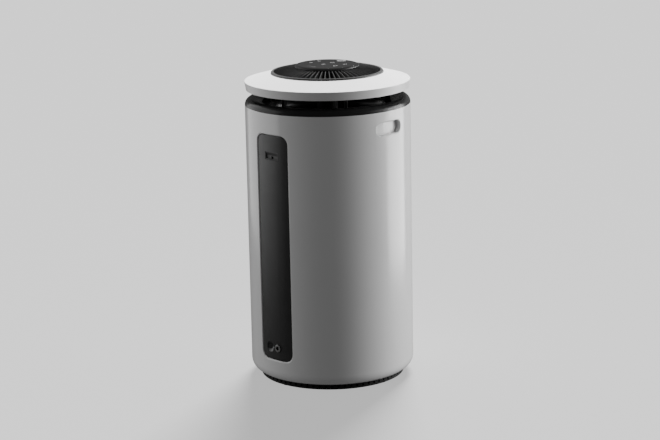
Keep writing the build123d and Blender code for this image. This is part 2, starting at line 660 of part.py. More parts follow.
with BuildPart() as head_pillars:
    with BuildSketch(Plane.XY.offset(PILLAR_BOTTOM)):
        with PolarLocations(PILLAR_CIRCLE_R, PILLARS, start_angle=30):
            SlotOverall(PILLAR_LENGTH, PILLAR_WIDTH)
    extrude(amount=TRAY_LOW + 4 - PILLAR_BOTTOM)
    with Locations((0, 0, LIP_TOP - FUNNEL_ROUND)):
        Torus(LIP_R, FUNNEL_ROUND, mode=Mode.SUBTRACT)
    add(top_tray.part, mode=Mode.SUBTRACT)
    ring(0, BODY_R, PILLAR_TOP, RING_EDGE, Mode.SUBTRACT)
finish(head_pillars, "head_pillars")


# ---------------------------------------------------------------- control cap
BOARD_TOP = BOARD_BOTTOM + BOARD_THICKNESS
CAP_SKIRT_R = HUB_R - HUB_WALL - 0.5
CAP_POST_CIRCLE_R = 31.0
CAP_FLAT_R = CAP_R - 5

with BuildPart() as control_cap:
    with BuildSketch(Plane.XZ):
        with BuildLine():
            cap_under = Line((0, CAP_BOTTOM), (CAP_R, CAP_BOTTOM))
            cap_edge = Line(cap_under @ 1, (CAP_R, CAP_BOTTOM + 0.7))
            TangentArc((CAP_FLAT_R, CAP_TOP), cap_edge @ 1, tangent=(1, 0))
            cap_flat = Line((CAP_FLAT_R, CAP_TOP), (0, CAP_TOP))
            Line(cap_flat @ 1, cap_under @ 0)
        make_face()
    revolve(axis=Axis.Z)
    ring(CAP_SKIRT_R - 3, CAP_SKIRT_R, HUB_BOTTOM + 4, CAP_BOTTOM)
    pegs(2.5, BOARD_TOP, CAP_BOTTOM, CAP_POST_CIRCLE_R, 3, 90)
    with BuildSketch(Plane.XY.offset(CAP_BOTTOM - 1)):
        with Locations((0, BUTTON_Y)):
            Circle(BUTTON_R + 0.3)
    extrude(amount=5, mode=Mode.SUBTRACT)
finish(control_cap, "control_cap")

with BuildPart() as cap_trim_ring:
    ring(43.6, TRIM_R, TRIM_BOTTOM, CAP_BOTTOM)
    fillet(cap_trim_ring.edges().filter_by(GeomType.CIRCLE).group_by(SortBy.RADIUS)[-1], 0.5)
finish(cap_trim_ring, "cap_trim_ring")

with BuildPart() as control_board:
    ring(0, 38, BOARD_BOTTOM, BOARD_TOP)
finish(control_board, "control_board")

with BuildPart() as power_switch:
    with BuildSketch(Plane.XY.offset(BOARD_TOP)):
        with Locations((0, BUTTON_Y)):
            Rectangle(5, 5)
    extrude(amount=2.2)
finish(power_switch, "power_switch")

BUTTON_STEM_END = BOARD_TOP + 2.2 + BUTTON_TRAVEL + 0.2
BUTTON_SKIRT_TOP = CAP_BOTTOM - 0.3

with BuildPart() as power_button:
    with BuildSketch(Plane.XY.offset(BUTTON_STEM_END)):
        with Locations((0, BUTTON_Y)):
            Circle(2)
    extrude(amount=BUTTON_TOP - 1 - BUTTON_STEM_END)
    with BuildSketch(Plane.XY.offset(BUTTON_SKIRT_TOP - 1)):
        with Locations((0, BUTTON_Y)):
            Circle(BUTTON_R)
    extrude(amount=BUTTON_TOP - BUTTON_SKIRT_TOP + 1)
    fillet(power_button.edges().group_by(Axis.Z)[-1], 0.5)
    with BuildSketch(Plane.XY.offset(BUTTON_SKIRT_TOP - 1)):
        with Locations((0, BUTTON_Y)):
            Circle(BUTTON_R + 1)
    extrude(amount=1)
finish(power_button, "power_button")

SPRING_R = 4.4
SPRING_WIRE = 0.5
SPRING_HEIGHT = BUTTON_SKIRT_TOP - 1 - BOARD_TOP - SPRING_WIRE

with BuildPart() as button_spring:
    with BuildLine(Plane((0, BUTTON_Y, BOARD_TOP + SPRING_WIRE / 2))) as coil:
        Helix(SPRING_HEIGHT / 4, SPRING_HEIGHT, SPRING_R)
    with BuildSketch(Plane(origin=coil.line @ 0, z_dir=coil.line % 0)):
        Circle(SPRING_WIRE / 2)
    sweep(path=coil.line)
finish(button_spring, "button_spring")

ICON_DEPTH = 0.15
SIDE_ICONS = ((25.0, 8.3), (-25.0, 8.3), (-26.5, -11.0), (26.5, -11.0))
MODE_ICON_Y = -12.2
NIGHT_ICON_Y = 8.1
AIR_BAR_Y = 33.5

with BuildPart() as touch_icons:
    with BuildSketch(Plane.XY.offset(CAP_TOP)):
        with Locations(*SIDE_ICONS):
            Circle(3.0)
            Circle(2.3, mode=Mode.SUBTRACT)
            Circle(1.0)
        with Locations((0, MODE_ICON_Y)):
            RegularPolygon(3.4, 4)
            RegularPolygon(2.4, 4, mode=Mode.SUBTRACT)
            Circle(0.9)
        with Locations((0, NIGHT_ICON_Y)):
            Circle(3.4)
            with Locations((1.6, 0.8)):
                Circle(2.9, mode=Mode.SUBTRACT)
        with Locations((0, AIR_BAR_Y)):
            SlotOverall(16, 1.6)
    extrude(amount=ICON_DEPTH)
finish(touch_icons, "touch_icons")

with BuildPart() as head_ribbon_cable:
    with BuildSketch(Plane.XY.offset(MOTOR_TOP + 3)):
        Rectangle(14, 0.8)
    extrude(amount=BOARD_BOTTOM - MOTOR_TOP - 3)
finish(head_ribbon_cable, "head_ribbon_cable")


# ---------------------------------------------------------------- service panel and what it carries
RESET_DISH_SPHERE = (RESET_DISH_R**2 + RESET_DISH_DEPTH**2) / (2 * RESET_DISH_DEPTH)
RESET_FACE_Y = math.sqrt(PANEL_FACE_R**2 - RESET_X**2)
RESET_TOP_Y = RESET_FACE_Y - RESET_DISH_DEPTH
RESET_STOP_Y = 115.2
RESET_BACK_Y = 114.2
BOSS_Y = 112.0
panel_flange = curved_plate(
    WINDOW_WIDTH + 2 * PANEL_LAP, WINDOW_HEIGHT + 2 * PANEL_LAP, WINDOW_ROUND + PANEL_LAP,
    WINDOW_Z, PANEL_BACK_R, PANEL_FLANGE_R,
)
panel_face = curved_plate(
    WINDOW_WIDTH - 2 * PANEL_GAP, WINDOW_HEIGHT - 2 * PANEL_GAP, WINDOW_ROUND - PANEL_GAP,
    WINDOW_Z, PANEL_BACK_R, PANEL_FACE_R,
)

with BuildPart() as service_panel:
    add(panel_flange)
    add(panel_face)
    fillet(rim_edges(service_panel, PANEL_FACE_R, 0, SHELL_TOP), 1.2)
    rear_peg(RESET_BOSS_R, RESET_X, JACK_Z, BOSS_Y, PANEL_BACK_R)
    rear_peg(JACK_COLLAR_R + 1.7, JACK_X, JACK_Z, BOSS_Y, PANEL_BACK_R)
    with Locations((RESET_X, RESET_TOP_Y + RESET_DISH_SPHERE, JACK_Z)):
        Sphere(RESET_DISH_SPHERE, mode=Mode.SUBTRACT)
    rear_peg(RESET_R + 0.3, RESET_X, JACK_Z, BOSS_Y - 2, BODY_R, Mode.SUBTRACT)
    rear_peg(RESET_R + 1.6, RESET_X, JACK_Z, BOSS_Y - 2, RESET_STOP_Y + 0.4, Mode.SUBTRACT)
    rear_peg(JACK_NECK_R + 0.2, JACK_X, JACK_Z, BOSS_Y - 2, BODY_R, Mode.SUBTRACT)
    rear_peg(STATUS_R + 0.1, STATUS_X, JACK_Z, BOSS_Y - 2, BODY_R, Mode.SUBTRACT)
    rear_block(
        0, SENSOR_Z, SENSOR_WIDTH + 0.4, SENSOR_HEIGHT + 0.4, BOSS_Y - 2, BODY_R, Mode.SUBTRACT
    )
finish(service_panel, "service_panel")

with BuildPart() as sensor_bezel:
    rear_block(0, SENSOR_Z, SENSOR_WIDTH, SENSOR_HEIGHT, 115, 122.4)
    with BuildSketch(Plane.XY.offset(SENSOR_Z - SENSOR_HEIGHT)) as flush:
        Circle(PANEL_FACE_R - 0.5)
    extrude(flush.sketch, amount=2 * SENSOR_HEIGHT, mode=Mode.INTERSECT)
    rear_block(0, SENSOR_Z, SENSOR_WIDTH - 2.4, SENSOR_HEIGHT - 2.4, 120.8, BODY_R, Mode.SUBTRACT)
    with BuildSketch(Plane.YZ.offset(-SENSOR_WIDTH / 2 + 1.2)) as slope:
        with BuildLine():
            Polyline(
                (120.8, SENSOR_Z + SENSOR_HEIGHT / 2 - 1.2), (122.0, SENSOR_Z + SENSOR_HEIGHT / 2 - 1.2),
                (120.8, SENSOR_HOLE_Z + 3), close=True,
            )
        make_face()
    extrude(slope.sketch, amount=SENSOR_WIDTH - 2.4)
    rear_peg(SENSOR_HOLE_R, 0, SENSOR_HOLE_Z, 110, BODY_R, Mode.SUBTRACT)
finish(sensor_bezel, "sensor_bezel")

with BuildPart() as particle_sensor:
    rear_block(0, SENSOR_Z, 38, 34, 101, 114)
    rear_peg(3.6, 0, SENSOR_HOLE_Z, 114, 115, bore=SENSOR_HOLE_R)
    rear_peg(SENSOR_HOLE_R, 0, SENSOR_HOLE_Z, 108, 116, Mode.SUBTRACT)
finish(particle_sensor, "particle_sensor")

with BuildPart() as jack_collar:
    rear_peg(JACK_COLLAR_R, JACK_X, JACK_Z, PANEL_FACE_R + 0.1, PANEL_FACE_R + 1.3)
    fillet(jack_collar.edges().group_by(Axis.Y)[-1], 0.6)
    rear_peg(JACK_NECK_R, JACK_X, JACK_Z, BOSS_Y, PANEL_FACE_R + 0.1)
    rear_peg(JACK_HOLE_R, JACK_X, JACK_Z, BOSS_Y - 2, BODY_R + 1, Mode.SUBTRACT)
finish(jack_collar, "jack_collar")

with BuildPart() as jack_socket:
    rear_block(JACK_X, JACK_Z, 12, 12, 103, BOSS_Y)
    rear_peg(JACK_HOLE_R - 0.1, JACK_X, JACK_Z, BOSS_Y, 120, bore=JACK_HOLE_R - 0.5)
finish(jack_socket, "jack_socket")

with BuildPart() as jack_pin:
    rear_peg(JACK_PIN_R, JACK_X, JACK_Z, BOSS_Y, 122)
    fillet(jack_pin.edges().group_by(Axis.Y)[-1], 0.4)
finish(jack_pin, "jack_pin")

with BuildPart() as status_lens:
    rear_peg(STATUS_R, STATUS_X, JACK_Z, BOSS_Y + 2, PANEL_FACE_R - 0.1)
finish(status_lens, "status_lens")

with BuildPart() as reset_button:
    rear_peg(RESET_R, RESET_X, JACK_Z, RESET_BACK_Y, RESET_TOP_Y + 0.7)
    fillet(reset_button.edges().group_by(Axis.Y)[-1], 0.5)
    rear_peg(RESET_R + 1.2, RESET_X, JACK_Z, RESET_BACK_Y, RESET_STOP_Y)
finish(reset_button, "reset_button")

with BuildPart() as reset_switch:
    rear_block(RESET_X, JACK_Z, 10, 10, 107, BOSS_Y)
    rear_peg(1.5, RESET_X, JACK_Z, BOSS_Y, BOSS_Y + 1)
finish(reset_switch, "reset_switch")

BOARD_NEAR = 109.6
BOARD_FAR = BOARD_NEAR + 1.6
BOARD_MID_Z = 175.0

with BuildPart() as main_board:
    rear_block(0, BOARD_MID_Z, 48, 150, BOARD_NEAR, BOARD_FAR)
finish(main_board, "main_board")

with BuildPart() as board_components:
    for row in range(4):
        rear_peg(4.5, -14, 120 + row * 14, 101, BOARD_NEAR)
    rear_block(8, 138, 18, 26, 103, BOARD_NEAR)
    rear_block(0, 180, 14, 14, 107.6, BOARD_NEAR)
    rear_block(LEAD_X, 243, 12, 8, 104.5, BOARD_NEAR)
    rear_block(-12, 243, 12, 8, 104.5, BOARD_NEAR)
finish(board_components, "board_components")

with BuildPart() as board_standoffs:
    for across in (-20, 20):
        for height in (-70, 70):
            rear_peg(2.5, across, BOARD_MID_Z + height, BOARD_FAR, PANEL_BACK_R)
    add(service_panel.part, mode=Mode.SUBTRACT)
finish(board_standoffs, "board_standoffs")

with BuildPart() as sensor_lead:
    with BuildSketch(Plane.XY.offset(247)):
        with Locations((LEAD_X, LEAD_Y)):
            Circle(1.5)
    extrude(amount=SENSOR_Z - 17 - 247)
finish(sensor_lead, "sensor_lead")
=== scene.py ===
import json
import math

import bmesh
import bpy
from mathutils import Matrix, Vector


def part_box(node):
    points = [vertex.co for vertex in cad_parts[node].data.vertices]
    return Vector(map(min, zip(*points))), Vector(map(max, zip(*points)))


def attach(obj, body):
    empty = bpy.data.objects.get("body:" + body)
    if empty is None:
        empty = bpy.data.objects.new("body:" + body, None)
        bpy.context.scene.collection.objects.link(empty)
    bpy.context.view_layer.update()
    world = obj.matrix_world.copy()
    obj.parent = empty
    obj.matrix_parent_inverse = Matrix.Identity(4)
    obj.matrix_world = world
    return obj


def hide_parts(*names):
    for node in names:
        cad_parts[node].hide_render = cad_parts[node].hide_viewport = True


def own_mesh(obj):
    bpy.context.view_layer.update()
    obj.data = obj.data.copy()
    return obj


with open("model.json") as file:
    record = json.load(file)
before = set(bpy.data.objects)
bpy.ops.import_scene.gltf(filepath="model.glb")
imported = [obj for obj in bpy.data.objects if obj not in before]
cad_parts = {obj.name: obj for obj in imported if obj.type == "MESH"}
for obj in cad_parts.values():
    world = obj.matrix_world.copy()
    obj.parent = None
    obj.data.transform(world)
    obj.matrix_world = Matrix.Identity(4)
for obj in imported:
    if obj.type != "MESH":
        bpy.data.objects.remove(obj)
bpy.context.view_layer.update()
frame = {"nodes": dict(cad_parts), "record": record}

NODES = frame["nodes"]
SCENE = bpy.context.scene

# Camera and studio.
VIEW_AZIMUTH = math.radians(223.4)
VIEW_DISTANCE = 3.0323
VIEW_HEIGHT = 0.9509
VIEW_PITCH = math.radians(13.23)
VIEW_ROLL = math.radians(-1.16)
LENS_MM = 111.15
AIR_STRENGTH = 0.11
FLOOR_VALUE = 0.165
FLOOR_GLOW = 0.6
FLOOR_REACH = 30.0


def outwards(azimuth):
    """Level direction from the axis towards an azimuth."""
    return Vector((math.sin(azimuth), -math.cos(azimuth), 0.0))


def make_camera():
    data = bpy.data.cameras.new("studio_camera")
    data.lens = LENS_MM
    data.sensor_width = 36.0
    camera = bpy.data.objects.new("studio_camera", data)
    SCENE.collection.objects.link(camera)
    towards = outwards(VIEW_AZIMUTH)
    sight = -towards * math.cos(VIEW_PITCH) - Vector((0, 0, math.sin(VIEW_PITCH)))
    turn = sight.to_track_quat("-Z", "Y").to_matrix() @ Matrix.Rotation(VIEW_ROLL, 3, "Z")
    place = towards * VIEW_DISTANCE + Vector((0, 0, VIEW_HEIGHT))
    camera.matrix_world = Matrix.Translation(place) @ turn.to_4x4()
    SCENE.camera = camera


def make_softbox(name, turn, distance, low, high, half_width, radiance, floor):
    """A tall lamp panel at an azimuth counted from the camera's, that faces the object's axis."""
    wide = 2 * distance * math.tan(math.radians(half_width))
    data = bpy.data.lights.new(name, "AREA")
    data.shape = "RECTANGLE"
    data.size = wide
    data.size_y = high - low
    data.energy = radiance * math.pi * wide * (high - low)
    lamp = bpy.data.objects.new(name, data)
    SCENE.collection.objects.link(lamp)
    towards = outwards(VIEW_AZIMUTH + math.radians(turn))
    place = towards * distance + Vector((0, 0, (low + high) / 2))
    lamp.matrix_world = Matrix.Translation(place) @ (-towards).to_track_quat("-Z", "Y").to_matrix().to_4x4()
    lamp.visible_camera = False
    spare_the_floor(lamp, floor)


def spare_the_floor(lamp, floor):
    """Lets the floor neither take nor block this lamp's light, so that it stays even."""
    spared = bpy.data.collections.new(lamp.name + "_spared")
    spared.objects.link(floor)
    for entry in spared.collection_objects:
        entry.light_linking.link_state = "EXCLUDE"
    lamp.light_linking.receiver_collection = spared
    lamp.light_linking.blocker_collection = spared


def make_sun(name, turn, elevation, strength, angle):
    """A far lamp at an azimuth counted from the camera's. It leaves no reflections."""
    data = bpy.data.lights.new(name, "SUN")
    data.energy = strength
    data.angle = math.radians(angle)
    lamp = bpy.data.objects.new(name, data)
    SCENE.collection.objects.link(lamp)
    rise = math.radians(elevation)
    towards = outwards(VIEW_AZIMUTH + math.radians(turn)) * math.cos(rise) + Vector((0, 0, math.sin(rise)))
    lamp.matrix_world = (-towards).to_track_quat("-Z", "Y").to_matrix().to_4x4()
    lamp.visible_glossy = False


def make_world():
    world = bpy.data.worlds.new("studio_air")
    world.use_nodes = True
    air = world.node_tree.nodes["Background"]
    air.inputs["Color"].default_value = (1.0, 1.0, 1.0, 1.0)
    air.inputs["Strength"].default_value = AIR_STRENGTH
    SCENE.world = world


def floor_material():
    material = bpy.data.materials.new("studio_paper")
    material.use_nodes = True
    shader = material.node_tree.nodes["Principled BSDF"]
    shader.inputs["Base Color"].default_value = (FLOOR_VALUE, FLOOR_VALUE, FLOOR_VALUE, 1.0)
    shader.inputs["Roughness"].default_value = 0.9
    shader.inputs["Emission Color"].default_value = (1.0, 1.0, 1.0, 1.0)
    shader.inputs["Emission Strength"].default_value = FLOOR_GLOW
    return material


def make_floor():
    mesh = bpy.data.meshes.new("studio_floor")
    corners = [
        (-FLOOR_REACH, -FLOOR_REACH, 0), (FLOOR_REACH, -FLOOR_REACH, 0),
        (FLOOR_REACH, FLOOR_REACH, 0), (-FLOOR_REACH, FLOOR_REACH, 0),
    ]
    mesh.from_pydata(corners, [], [(0, 1, 2, 3)])
    floor = bpy.data.objects.new("studio_floor", mesh)
    SCENE.collection.objects.link(floor)
    mesh.materials.append(floor_material())
    floor.visible_diffuse = False
    floor.visible_glossy = False
    return floor


make_camera()
make_world()
floor = make_floor()
make_softbox("right_softbox", 105.5, 1.6, -0.22, 1.1, 19.5, 8.0, floor)
make_softbox("right_fill", 90.0, 1.7, 0.1, 1.5, 25.0, 1.5, floor)
make_softbox("left_softbox", -108.0, 1.6, -0.17, 1.75, 36.0, 1.45, floor)
make_sun("back_light", 168.0, 42.0, 19.5, 22.0)


# Finishes.
def new_finish(name, colour, roughness, **even):
    """A finish whose even values sit on the shader's own sockets."""
    material = bpy.data.materials.new(name)
    material.use_nodes = True
    tree = material.node_tree
    shader = tree.nodes["Principled BSDF"]
    shader.inputs["Base Color"].default_value = (*colour, 1.0)
    shader.inputs["Roughness"].default_value = roughness
    for socket, value in even.items():
        shader.inputs[socket.replace("_", " ")].default_value = value
    return material, tree, shader


def place_on_object(tree, stretch=(1.0, 1.0, 1.0)):
    """The object's own coordinates, stretched for a grain that runs one way."""
    coordinates = tree.nodes.new("ShaderNodeTexCoord")
    mapping = tree.nodes.new("ShaderNodeMapping")
    mapping.inputs["Scale"].default_value = stretch
    tree.links.new(coordinates.outputs["Object"], mapping.inputs["Vector"])
    return mapping.outputs["Vector"]


def noise(tree, scale, detail=3.0, stretch=(1.0, 1.0, 1.0)):
    texture = tree.nodes.new("ShaderNodeTexNoise")
    texture.inputs["Scale"].default_value = scale
    texture.inputs["Detail"].default_value = detail
    tree.links.new(place_on_object(tree, stretch), texture.inputs["Vector"])
    return texture.outputs["Fac"]


def cells(tree, scale, feature="F1", stretch=(1.0, 1.0, 1.0)):
    texture = tree.nodes.new("ShaderNodeTexVoronoi")
    texture.feature = feature
    texture.inputs["Scale"].default_value = scale
    tree.links.new(place_on_object(tree, stretch), texture.inputs["Vector"])
    return texture.outputs["Distance"]


def tint(tree, shader, source, dark, light, low=0.3, high=0.7):
    """Lets the colour drift between two tones."""
    ramp = tree.nodes.new("ShaderNodeValToRGB")
    ramp.color_ramp.elements[0].position = low
    ramp.color_ramp.elements[1].position = high
    ramp.color_ramp.elements[0].color = (*dark, 1.0)
    ramp.color_ramp.elements[1].color = (*light, 1.0)
    tree.links.new(source, ramp.inputs["Fac"])
    tree.links.new(ramp.outputs["Color"], shader.inputs["Base Color"])


def shine(tree, shader, source, low, high):
    """Lets the roughness drift between two values."""
    spread = tree.nodes.new("ShaderNodeMapRange")
    spread.inputs["From Min"].default_value = 0.3
    spread.inputs["From Max"].default_value = 0.7
    spread.inputs["To Min"].default_value = low
    spread.inputs["To Max"].default_value = high
    tree.links.new(source, spread.inputs["Value"])
    tree.links.new(spread.outputs["Result"], shader.inputs["Roughness"])


def relief(tree, shader, source, depth, strength=1.0, before=None):
    """Raises the surface by a grain of some depth in metres."""
    bump = tree.nodes.new("ShaderNodeBump")
    bump.inputs["Distance"].default_value = depth
    bump.inputs["Strength"].default_value = strength
    tree.links.new(source, bump.inputs["Height"])
    if before is not None:
        tree.links.new(before, bump.inputs["Normal"])
    tree.links.new(bump.outputs["Normal"], shader.inputs["Normal"])
    return bump.outputs["Normal"]


def grey(value, warmth=0.0):
    """A grey, a little warmer or cooler."""
    return (value * (1 + warmth), value, value * (1 - warmth))


def moulded(name, value, roughness, grain, depth, warmth=0.0, drift=0.04, **even):
    """Moulded plastic: slow drift of tone and shine, with a fine grain from the mould."""
    material, tree, shader = new_finish(name, grey(value, warmth), roughness, **even)
    slow = noise(tree, 14.0, 2.0)
    tint(tree, shader, slow, grey(value * (1 - drift), warmth), grey(value * (1 + drift), warmth))
    shine(tree, shader, noise(tree, 60.0, 4.0), roughness * 0.92, roughness * 1.08)
    relief(tree, shader, noise(tree, grain, 2.0), depth)
    return material


def white_gloss():
    return moulded("white_gloss", 0.80, 0.17, 500.0, 0.0000025, drift=0.01)


def white_satin():
    return moulded("white_satin", 0.82, 0.38, 2600.0, 0.00001, drift=0.01)


def black_gloss():
    return moulded("black_gloss", 0.022, 0.24, 500.0, 0.000002, drift=0.1, Specular_IOR_Level=0.22)


def black_matte():
    return moulded("black_matte", 0.012, 0.65, 2200.0, 0.00004, drift=0.12, Specular_IOR_Level=0.2)


def panel_dark():
    return moulded("panel_dark", 0.014, 0.36, 2400.0, 0.00001, drift=0.1)


def grille_dark():
    return moulded("grille_dark", 0.055, 0.45, 2400.0, 0.00002, drift=0.1)


def cap_dark():
    return moulded("cap_dark", 0.013, 0.36, 1500.0, 0.000004, drift=0.1)


def trim_dark():
    return moulded("trim_dark", 0.1, 0.45, 1500.0, 0.000004, drift=0.05, Metallic=0.6)


def button_light():
    return moulded("button_light", 0.17, 0.35, 2000.0, 0.000006)


def icon_print():
    return moulded("icon_print", 0.26, 0.45, 3000.0, 0.000006)


def sensor_grey():
    return moulded("sensor_grey", 0.05, 0.45, 2400.0, 0.00002)


def rubber_black():
    return moulded("rubber_black", 0.018, 0.8, 1800.0, 0.00006, drift=0.15)


def jack_metal():
    return moulded("jack_metal", 0.2, 0.38, 3000.0, 0.000008, Metallic=1.0)


def pin_brass():
    material, tree, shader = new_finish("pin_brass", (0.62, 0.47, 0.2), 0.28, Metallic=1.0)
    tint(tree, shader, noise(tree, 400.0), (0.5, 0.37, 0.16), (0.68, 0.52, 0.24))
    shine(tree, shader, noise(tree, 900.0), 0.2, 0.36)
    return material


def lens_clear():
    material, tree, shader = new_finish("lens_clear", (0.5, 0.52, 0.52), 0.2, IOR=1.49)
    tint(tree, shader, noise(tree, 900.0), (0.42, 0.44, 0.44), (0.56, 0.58, 0.58))
    shine(tree, shader, noise(tree, 600.0), 0.14, 0.24)
    return material


def steel():
    material, tree, shader = new_finish("steel", (0.5, 0.5, 0.5), 0.32, Metallic=1.0)
    tint(tree, shader, noise(tree, 300.0), (0.42, 0.43, 0.44), (0.58, 0.57, 0.55))
    shine(tree, shader, noise(tree, 700.0, 4.0), 0.24, 0.42)
    relief(tree, shader, noise(tree, 2500.0, 2.0, (1.0, 1.0, 0.2)), 0.00001)
    return material


def filter_paper():
    material, tree, shader = new_finish("filter_paper", (0.78, 0.77, 0.73), 0.95, Sheen_Weight=0.2)
    tint(tree, shader, noise(tree, 700.0, 8.0), (0.7, 0.69, 0.65), (0.82, 0.81, 0.78))
    relief(tree, shader, noise(tree, 1600.0, 8.0), 0.00012)
    return material


def carbon():
    material, tree, shader = new_finish("carbon", (0.02, 0.02, 0.02), 0.75)
    grain = cells(tree, 550.0)
    tint(tree, shader, grain, (0.035, 0.035, 0.036), (0.008, 0.008, 0.008), 0.1, 0.8)
    shine(tree, shader, noise(tree, 900.0), 0.5, 0.9)
    relief(tree, shader, grain, 0.0008)
    return material


def mesh_grey():
    return moulded("mesh_grey", 0.3, 0.7, 3000.0, 0.00003)


def foam_grey():
    material, tree, shader = new_finish("foam_grey", (0.12, 0.12, 0.125), 0.9)
    pores = cells(tree, 900.0)
    tint(tree, shader, pores, (0.06, 0.06, 0.062), (0.15, 0.15, 0.155), 0.05, 0.5)
    shine(tree, shader, noise(tree, 300.0), 0.8, 0.98)
    relief(tree, shader, pores, 0.0004)
    return material


def tab_fabric():
    material, tree, shader = new_finish("tab_fabric", (0.05, 0.2, 0.38), 0.85, Sheen_Weight=0.3)
    tint(tree, shader, noise(tree, 1500.0, 4.0), (0.035, 0.16, 0.32), (0.07, 0.25, 0.45))
    relief(tree, shader, noise(tree, 2600.0), 0.0001)
    return material


def duct_grey():
    return moulded("duct_grey", 0.16, 0.55, 2000.0, 0.00003)


def fan_white():
    return moulded("fan_white", 0.62, 0.4, 2000.0, 0.00001, drift=0.02)


def motor_can():
    return moulded("motor_can", 0.08, 0.42, 1400.0, 0.00004, Metallic=0.4)


def bearing_chrome():
    return moulded("bearing_chrome", 0.66, 0.14, 2000.0, 0.000004, Metallic=1.0)


def board_green():
    material, tree, shader = new_finish("board_green", (0.015, 0.11, 0.05), 0.35, Coat_Weight=0.3)
    tint(tree, shader, cells(tree, 220.0, "F1", (1.0, 1.0, 1.0)), (0.03, 0.19, 0.09), (0.012, 0.1, 0.045))
    shine(tree, shader, noise(tree, 400.0), 0.3, 0.42)
    return material


def component_black():
    return moulded("component_black", 0.025, 0.5, 2600.0, 0.00003)


def lead_white():
    return moulded("lead_white", 0.55, 0.5, 1200.0, 0.00002)


FINISHERS = (
    white_gloss, white_satin, black_gloss, black_matte, panel_dark, grille_dark, cap_dark, trim_dark,
    button_light, icon_print, sensor_grey, rubber_black, jack_metal, pin_brass, lens_clear, steel,
    filter_paper, carbon, mesh_grey, foam_grey, tab_fabric, duct_grey, fan_white, motor_can,
    bearing_chrome, board_green, component_black, lead_white,
)
FINISH = {finisher.__name__: finisher() for finisher in FINISHERS}


def finish_frame():
    """Gives every carried-over node the finish that its record names."""
    for entry in frame["record"]["subparts"]:
        mesh = NODES[entry["node"]].data
        mesh.materials.clear()
        mesh.materials.append(FINISH[entry["material_slot"]])


finish_frame()

# Sizes in metres, as the frame has them.
HOUSING = "housing"
ROTOR = "rotor"
POWER_KEY = "power_key"
CAP_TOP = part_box("control_cap")[1].z
BUTTON_LOW, BUTTON_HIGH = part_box("power_button")
GRILLE_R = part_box("outlet_grille")[1].x
GRILLE_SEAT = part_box("top_tray")[1].z
GRILLE_WALL = 0.0044
GRILLE_RIM_TOP = 0.4695
GRILLE_RIM_CUT = 0.0012
FIN_COUNT = 66
HUB_R = 0.047
HUB_TOP = 0.474
HUB_EYE_R = 0.037
HUB_WALL = 0.003
HUB_LOW = 0.4593
TRIM_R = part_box("cap_trim_ring")[1].x
SPRING_WIRE_R = 0.00025


# Meshes.
def plain_mesh(name, points, faces):
    mesh = bpy.data.meshes.new(name)
    mesh.from_pydata([tuple(point) for point in points], [], faces)
    shape = bmesh.new()
    shape.from_mesh(mesh)
    bmesh.ops.remove_doubles(shape, verts=shape.verts, dist=0.0000005)
    bmesh.ops.recalc_face_normals(shape, faces=shape.faces)
    shape.to_mesh(mesh)
    shape.free()
    return mesh


def soften(mesh, sharp=35.0):
    """Smooth shading, with a crease where faces meet at more than an angle."""
    for face in mesh.polygons:
        face.use_smooth = True
    mesh.set_sharp_from_angle(angle=math.radians(sharp))
    return mesh


def piece(name, mesh, finish, body=HOUSING, stands_for=(), sharp=35.0):
    """Puts a finished mesh in the scene as a named piece that rides on a body."""
    mesh.name = name
    mesh.materials.clear()
    mesh.materials.append(FINISH[finish])
    soften(mesh, sharp)
    made = bpy.data.objects.new(name, mesh)
    SCENE.collection.objects.link(made)
    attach(made, body)
    if stands_for:
        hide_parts(*stands_for)
    return made


def rounded(corners, radius, steps=4):
    """A closed section with each corner rounded: pairs of distance from the axis and height."""
    points = []
    for index, corner in enumerate(corners):
        here = Vector(corner)
        before = Vector(corners[index - 1]) - here
        after = Vector(corners[(index + 1) % len(corners)]) - here
        reach = min(radius, before.length * 0.45, after.length * 0.45)
        start = here + before.normalized() * reach
        end = here + after.normalized() * reach
        for step in range(steps + 1):
            share = step / steps
            points.append(start * (1 - share) ** 2 + here * 2 * share * (1 - share) + end * share ** 2)
    return points


def tube(inner, outer, low, high, edge):
    """The section of a plain ring with eased edges."""
    return rounded(((inner, low), (outer, low), (outer, high), (inner, high)), edge)


def turn_section(section, steps=144):
    """Points and faces of a closed section turned about the main axis."""
    points = []
    for step in range(steps):
        angle = 2 * math.pi * step / steps
        for distance, height in section:
            points.append((distance * math.cos(angle), distance * math.sin(angle), height))
    count = len(section)
    faces = []
    for step in range(steps):
        here, there = step * count, (step + 1) % steps * count
        for index in range(count):
            follow = (index + 1) % count
            faces.append((here + index, there + index, there + follow, here + follow))
    return points, faces


def join_parts(parts):
    """One list of points and faces from several."""
    points, faces = [], []
    for part_points, part_faces in parts:
        offset = len(points)
        points.extend(part_points)
        faces.extend(tuple(index + offset for index in face) for face in part_faces)
    return points, faces


def loft(rings, closed_ends=True):
    """Skin over rings of points with equal counts."""
    count = len(rings[0])
    points = [point for ring_points in rings for point in ring_points]
    faces = []
    for level in range(len(rings) - 1):
        for index in range(count):
            follow = (index + 1) % count
            low, high = level * count, (level + 1) * count
            faces.append((low + index, low + follow, high + follow, high + index))
    if closed_ends:
        faces.append(tuple(reversed(range(count))))
        faces.append(tuple((len(rings) - 1) * count + index for index in range(count)))
    return points, faces


